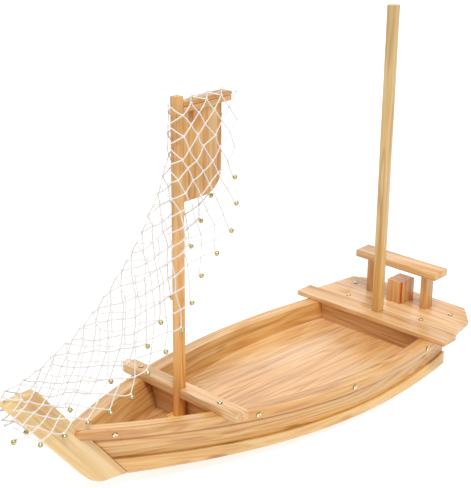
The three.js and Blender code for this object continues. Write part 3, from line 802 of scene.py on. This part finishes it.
cord_finish = Finish("white_cord")
cord_place = cord_finish.node("ShaderNodeTexCoord", output=3)
twist = cord_finish.node(
    "ShaderNodeTexWave",
    {"wave_type": "BANDS", "bands_direction": "DIAGONAL"},
    {"Vector": cord_place, "Scale": 320.0, "Distortion": 2.0, "Detail": 2.0},
)
soil = noise(cord_finish, cord_place, 60.0, 3.0)
cord_tones = [(0.0, tone(210, 207, 206)), (0.7, tone(240, 237, 233))]
cord_finish.set(
    Base_Color=ramp(cord_finish, twist * 0.6 + soil * 0.4, cord_tones),
    Roughness=soil * 0.2 + 0.75,
    Normal=bump(cord_finish, twist, 0.5, 0.3 * MM),
)

# Each cord sags by about a millimetre between its knots.

curve = bpy.data.curves.new("net_cords", "CURVE")
curve.dimensions = "3D"
curve.bevel_depth = CORD_RADIUS
curve.bevel_resolution = 1
curve.resolution_u = 1
curve.use_fill_caps = True
for ends in sorted(cords, key=str):
    start, end = knots[ends[0]], knots[ends[1]]
    belly = Vector((random.uniform(-1, 1), random.uniform(-0.3, 0.3), -abs(random.gauss(0, 1))))
    spline = curve.splines.new("POLY")
    spline.points.add(CORD_STEPS)
    for step in range(CORD_STEPS + 1):
        share = step / CORD_STEPS
        point = start.lerp(end, share) + belly * SAG * 4 * share * (1 - share)
        spline.points[step].co = (*point, 1)
cord_blank = add_object("net_cords", curve)
graph = bpy.context.evaluated_depsgraph_get()
graph.update()
cord_mesh = bpy.data.meshes.new_from_object(cord_blank.evaluated_get(graph))
bpy.data.objects.remove(cord_blank)

# Each knot is a small wrapped lump, pulled a little out of round.

shape = bmesh.new()
shape.from_mesh(cord_mesh)
for name in sorted(knots, key=str):
    turn = Matrix.Rotation(random.uniform(0, math.pi), 4, (random.random(), random.random(), 1))
    place = Matrix.Translation(knots[name]) @ turn @ Matrix.Diagonal((*KNOT_RADII, 1))
    bmesh.ops.create_icosphere(shape, subdivisions=2, radius=1, matrix=place)
shape.to_mesh(cord_mesh)
shape.free()
cord_mesh.shade_smooth()
cord_mesh.materials.clear()
cord_mesh.materials.append(cord_finish.material)
net = add_object("net_of_cord", cord_mesh)
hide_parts("net")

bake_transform(net)


# Bells: two pressed cups of thin brass with a rolled seam, a cross slot underneath, a
# loop on top and a pea inside. Each is tied to a knot at the net's edge.

BELL_RADIUS = 3.6 * MM
WALL = 0.3 * MM
BELL_TURNS = 32
SEAM_SHARE = 0.07  # how far the seam stands out, of the radius
SEAM_SPREAD = 0.13
BELL_SLOT_TOP = -0.3 * BELL_RADIUS
BELL_HOLE_TOP = WALL - 0.93 * BELL_RADIUS
LOOP_RADIUS = 1 * MM
LOOP_WIRE = 0.35 * MM
LOOP_LIFT = 0.55 * MM
PEA_RADIUS = 1.1 * MM
PEA_DROP = 1.4 * MM
TIE_LENGTH = 1.52 * MM

bell_brass = brass("bell_brass", tone(222, 212, 160), tone(158, 142, 84))


def bell_mesh():
    profile = []
    for turn in np.linspace(-math.pi / 2, math.pi / 2, 17):
        seam = SEAM_SHARE * math.exp(-((turn / SEAM_SPREAD) ** 2))
        radius = BELL_RADIUS - WALL
        profile.append((radius * (math.cos(turn) + seam), radius * math.sin(turn)))
    profile[0] = (0, profile[0][1])
    profile[-1] = (0, profile[-1][1])
    shape = spun(profile, BELL_TURNS)
    open_faces = []
    for face in shape.faces:
        x, y, z = face.calc_center_median()
        turn = math.floor(math.atan2(y, x) / (2 * math.pi) * BELL_TURNS)
        in_slot = turn % (BELL_TURNS // 4) == 0
        if z < BELL_SLOT_TOP and in_slot or z < BELL_HOLE_TOP:
            open_faces.append(face)
    bmesh.ops.delete(shape, geom=open_faces, context="FACES")
    bmesh.ops.solidify(shape, geom=shape.faces, thickness=WALL)
    loop = bmesh.new()
    ring = bmesh.ops.create_circle(loop, segments=8, radius=LOOP_WIRE)["verts"]
    bmesh.ops.rotate(loop, verts=ring, matrix=Matrix.Rotation(math.pi / 2, 3, "X"))
    bmesh.ops.translate(loop, verts=ring, vec=(LOOP_RADIUS, 0, 0))
    bmesh.ops.spin(
        loop,
        geom=list(loop.verts) + list(loop.edges),
        cent=(0, 0, 0),
        axis=(0, 0, 1),
        angle=2 * math.pi,
        steps=14,
        use_merge=True,
    )
    bmesh.ops.remove_doubles(loop, verts=loop.verts, dist=MERGED)
    bmesh.ops.rotate(loop, verts=loop.verts, matrix=Matrix.Rotation(math.pi / 2, 3, "X"))
    bmesh.ops.translate(loop, verts=loop.verts, vec=(0, 0, BELL_RADIUS + LOOP_LIFT))
    bmesh.ops.recalc_face_normals(loop, faces=loop.faces)
    pea_place = Matrix.Translation((0, 0, -PEA_DROP))
    bmesh.ops.create_icosphere(loop, subdivisions=2, radius=PEA_RADIUS, matrix=pea_place)
    mesh = bpy.data.meshes.new("bell")
    loop.to_mesh(mesh)
    loop.free()
    shape.from_mesh(mesh)
    shape.to_mesh(mesh)
    shape.free()
    mesh.materials.append(bell_brass)
    mesh.shade_smooth()
    mesh.set_sharp_from_angle(angle=math.radians(50))
    return mesh


bell_blank = bell_mesh()


def add_bell(name, centre, knot):
    """A bell with its loop turned towards the knot that it hangs from."""
    mesh = bell_blank.copy()
    turn = (knot - centre).to_track_quat("Z", "Y").to_matrix().to_4x4()
    spin = Matrix.Rotation(random.uniform(0, math.pi), 4, "Z")
    mesh.transform(Matrix.Translation(centre) @ turn @ spin)
    return add_object(name, mesh)


edge_knots = [
    knots[side, row, NET_COLUMNS] for side in (1, -1) for row in range(0, NET_ROWS + 1, 2)
]
for node in sorted(name for name in frame["nodes"] if name.startswith("bell_")):
    low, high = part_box(node)
    centre = (Vector(low) + Vector(high)) / 2
    knot = min(edge_knots, key=lambda point: (point - centre).length)
    dress(add_bell(f"{node}_brass", centre, knot), node)

# Bells that the solid has as one piece with the net. Each hangs outwards and down from
# the (side, row) of its knot. One low on the net moves with the hull, one high up with
# the fore mast, and one between stays where it is.

TIED_BELLS = [(1, 12), (1, 14), (1, 16), (-1, 12), (-1, 16), (-1, 28), (-1, 32)]
DROOP = 0.5
LONG_WAY = Vector((0, 0, 10))  # ten metres straight up

for side, row in TIED_BELLS:
    knot = knots[side, row, NET_COLUMNS]
    inner = [
        net_point(side, other, NET_COLUMNS - 1)
        for other in (row - 1, row + 1)
        if other <= NET_ROWS
    ]
    way = (knot - sum(inner, Vector()) / len(inner)).normalized()
    way.z -= DROOP
    way.normalize()
    centre = knot + way * (BELL_RADIUS + TIE_LENGTH)
    bell = add_bell(f"tied_bell_{'port' if side > 0 else 'starboard'}_{row}", centre, knot)
    rise = (knot.z - STRETCH_LOW.z) / (STRETCH_HIGH.z - STRETCH_LOW.z)
    if rise <= 0:
        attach(bell, "hull")
    elif rise >= 1:
        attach(bell, "fore_mast")
    else:
        centre - LONG_WAY * rise
        centre + LONG_WAY * (1 - rise)
        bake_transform(bell)
